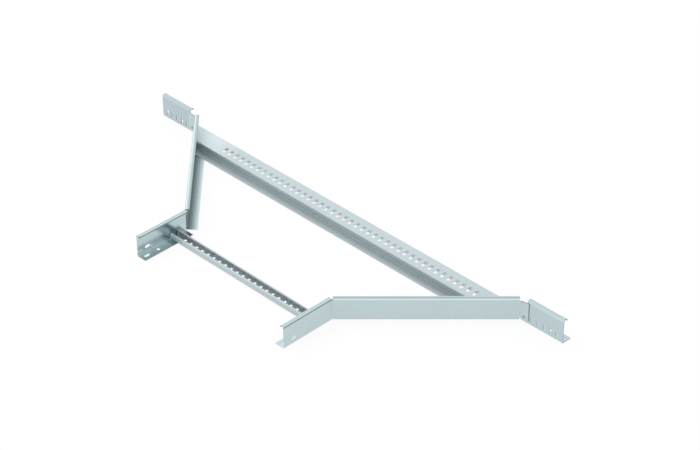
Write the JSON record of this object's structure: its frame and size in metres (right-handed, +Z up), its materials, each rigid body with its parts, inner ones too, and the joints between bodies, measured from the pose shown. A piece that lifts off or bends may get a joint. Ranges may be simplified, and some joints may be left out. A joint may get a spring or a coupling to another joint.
{
  "type": "cable ladder branch tee",
  "caption": "Flared side rails, slotted cross rungs and hook-over end plates that take a branch cable ladder off the side of a straight run.",
  "frame": {"origin": "middle of the branch, in the plane of the end plates' outer faces, level with the underside of the side rails", "axes": "+X along the main run, +Y into the main run, +Z up"},
  "size_m": [1.34, 0.477, 0.0635],
  "materials": {
    "rail_zinc": "hot-dip galvanised, dull silver grey",
    "plate_zinc": "galvanised sheet, dull silver grey",
    "rung_zinc": "galvanised perforated strip, dull silver grey",
    "rivet_zinc": "plated, satin"
  },
  "bodies": {
    "root": {"left_side_rail": "rail_zinc", "right_side_rail": "rail_zinc", "left_end_plate": "plate_zinc", "right_end_plate": "plate_zinc", "junction_rung": "rung_zinc", "branch_rung": "rung_zinc", "plate_rivets": "rivet_zinc"}
  },
  "joints": []
}
